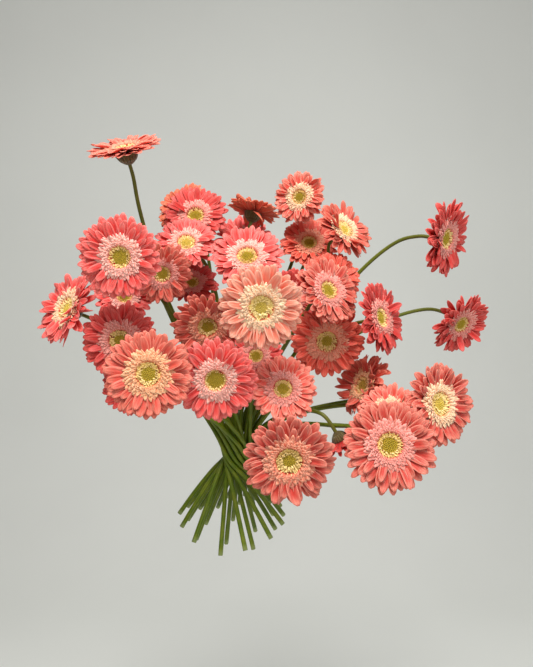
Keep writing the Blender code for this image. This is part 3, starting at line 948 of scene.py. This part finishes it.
eye_skins = {kind: eye_material("eye_" + kind, *colours) for kind, colours in EYE_KINDS.items()}
SEAT_SIDES = 24
SEAT_OPENED = 0.55             # how near the seat's colour is to an open floret's
SEAT_OUTLINE = (
    # radius and height, as shares of the head's radius
    (0.14, -0.05), (0.26, -0.03), (0.305, 0.03), (0.29, 0.058),
    (0.25, 0.068), (0.215, 0.064), (0.19, 0.045), (0.10, 0.045),
)
BUD_SIDES = 6
BUD_FOOT = -0.6
BUD_RINGS = ((1.0, BUD_FOOT), (0.95, 0.15), (0.62, 0.75))


def level_ring(sides, size, share, height):
    """A level ring of points round the axis, as wide as a share of a size."""
    turn = np.linspace(0, 2 * math.pi, sides, endpoint=False)
    return np.stack(
        [np.cos(turn) * size * share, np.sin(turn) * size * share, np.full(sides, height)], axis=-1
    )


def bud_points(centre, tall, wide, lean):
    """One closed floret: a blunt peg with a rounded top, as rings and a tip."""
    rings = [centre + level_ring(BUD_SIDES, wide, r, tall * h) + lean * h for r, h in BUD_RINGS]
    tip = centre + np.array([0, 0, tall]) + lean
    foot = centre + np.array([0, 0, BUD_FOOT * tall])
    return np.vstack([foot] + rings + [tip])


def bud_faces(first):
    """The faces of one closed floret whose points start at first."""
    faces = strip_faces(len(BUD_RINGS), BUD_SIDES, closed=True, first=first + 1)
    tip = first + 1 + len(BUD_RINGS) * BUD_SIDES
    return faces + cap_faces(BUD_SIDES, first, first + 1, tip, tip - BUD_SIDES)


for flower in flowers:
    random = np.random.default_rng([EYE_SEED, flower["index"]])
    ripeness = flower["ripeness"]
    closed = int(EYE_BUDS * (1 - CLOSED_LOSS * ripeness))
    ring_inside = RING_INSIDE - RING_CREEP_IN * ripeness
    ring_outside = RING_OUTSIDE + RING_CREEP_OUT * ripeness
    seat = np.vstack([level_ring(SEAT_SIDES, 1.0, r, h) for r, h in SEAT_OUTLINE])
    points = [seat]
    faces = strip_faces(len(SEAT_OUTLINE), SEAT_SIDES, closed=True)
    faces += [list(range(SEAT_SIDES))[::-1], list(range(len(seat) - SEAT_SIDES, len(seat)))]
    out = [np.full(len(seat), 1.0)]
    opened = [np.full(len(seat), SEAT_OPENED)]
    for number in range(closed + int(OPEN_COUNT + OPEN_GAIN * ripeness)):
        is_open = number >= closed
        share = math.sqrt((number + 0.5) / EYE_BUDS)
        if is_open:
            reach = random.uniform(ring_inside, ring_outside)
            angle = random.uniform(0, 2 * math.pi)
            height = random.uniform(*OPEN_HEIGHTS)
            wide, tall, lean = OPEN_WIDTH, random.uniform(*OPEN_LENGTHS), OPEN_LEAN
        else:
            reach = EYE_RADIUS * share
            angle = number * GOLDEN_ANGLE
            height = EYE_CROWN - EYE_FALL * share**2
            wide, tall, lean = CLOSED_WIDTH, random.uniform(*CLOSED_LENGTHS), 0.0
        outward = np.array([math.cos(angle), math.sin(angle), 0.0])
        centre = outward * reach + np.array([0, 0, height])
        faces += bud_faces(sum(len(part) for part in points))
        points.append(bud_points(centre, tall, wide, outward * lean))
        out.append(np.full(len(points[-1]), min(share, 1.0)))
        opened.append(np.full(len(points[-1]), float(is_open)))
    values = {"out": np.concatenate(out), "opened": np.concatenate(opened)}
    skin = eye_skins[EYE_KIND.get(flower["name"], "olive")]
    points = in_place(flower, np.vstack(points))
    piece = new_piece("eye_of_" + flower["name"], points, faces, values, skin)
    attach(piece, "root")
    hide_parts(flower["head"])


# ---- Floor, light and camera ---------------------------------------------------------
# A pale sweep of studio paper: a floor below the held bunch that curves up to a wall
# far behind it. A broad lamp stands high in front, a weak one fills in from the right, and
# a soft sky is all round.
FLOOR_DROP = 0.6
SWEEP_BACK = 1.9
SWEEP_BEND = 0.9
SWEEP_STEPS = 13
SWEEP_WIDTH = 7.0
SWEEP_TOP = 3.2
SWEEP_FRONT = -3.0
PAPER = colour(235, 237, 233)
PAPER_SHADE = colour(232, 234, 230)


def paper_material():
    """Matt paper, hardly cloudy."""
    material, tree, shader = new_material("studio_paper", roughness=0.9, specular=0.1)
    skin = add_cloudy_skin(tree, PAPER, PAPER_SHADE, 1.5)
    tree.links.new(skin["Color"], shader.inputs["Base Color"])
    return material


floor_height = cad_box[0][2] - FLOOR_DROP
profile = [(SWEEP_FRONT, floor_height)]
for angle in np.linspace(-math.pi / 2, 0, SWEEP_STEPS):
    back = SWEEP_BACK - SWEEP_BEND + SWEEP_BEND * math.cos(angle)
    profile.append((back, floor_height + SWEEP_BEND * (1 + math.sin(angle))))
profile.append((SWEEP_BACK, SWEEP_TOP))
sweep_points = [(side * SWEEP_WIDTH / 2, y, z) for y, z in profile for side in (1, -1)]
floor = new_piece("studio_floor", sweep_points, strip_faces(len(profile), 2), {}, paper_material())

middle = np.array([(low + high) / 2 for low, high in zip(cad_box[0], cad_box[1])])


def soft_lamp(name, place, size, power, tint):
    """A round soft lamp that is turned to the middle of the bunch."""
    lamp = bpy.data.lights.new(name, "AREA")
    lamp.shape = "DISK"
    lamp.size = size
    lamp.energy = power
    lamp.color = tint
    holder = bpy.data.objects.new(name, lamp)
    holder.location = place
    holder.rotation_euler = (Vector(middle) - Vector(place)).to_track_quat("-Z", "Y").to_euler()
    bpy.context.scene.collection.objects.link(holder)


soft_lamp("window_light", place=(-0.05, -1.0, 1.55), size=0.75, power=38.0, tint=(1.0, 0.985, 0.96))
soft_lamp("fill_light", place=(0.9, -1.3, 0.7), size=1.6, power=10.0, tint=(0.96, 0.98, 1.0))

SKY_COLOUR = (0.85, 0.83, 0.80, 1.0)
SKY_STRENGTH = 0.33

world = bpy.data.worlds.new("soft_sky")
world.use_nodes = True
world.node_tree.nodes["Background"].inputs["Color"].default_value = SKY_COLOUR
world.node_tree.nodes["Background"].inputs["Strength"].default_value = SKY_STRENGTH
bpy.context.scene.world = world
bpy.context.scene.view_settings.view_transform = "Standard"

CAMERA_PLACE = (0.033, -0.62, 0.142)
VIEW_HEIGHT_DEGREES = 64.0
camera_data = bpy.data.cameras.new("camera")
camera_data.sensor_fit = "VERTICAL"
camera_data.angle = math.radians(VIEW_HEIGHT_DEGREES)
camera = bpy.data.objects.new("camera", camera_data)
camera.location = CAMERA_PLACE
camera.rotation_euler = (math.pi / 2, 0, 0)
bpy.context.scene.collection.objects.link(camera)
bpy.context.scene.camera = camera
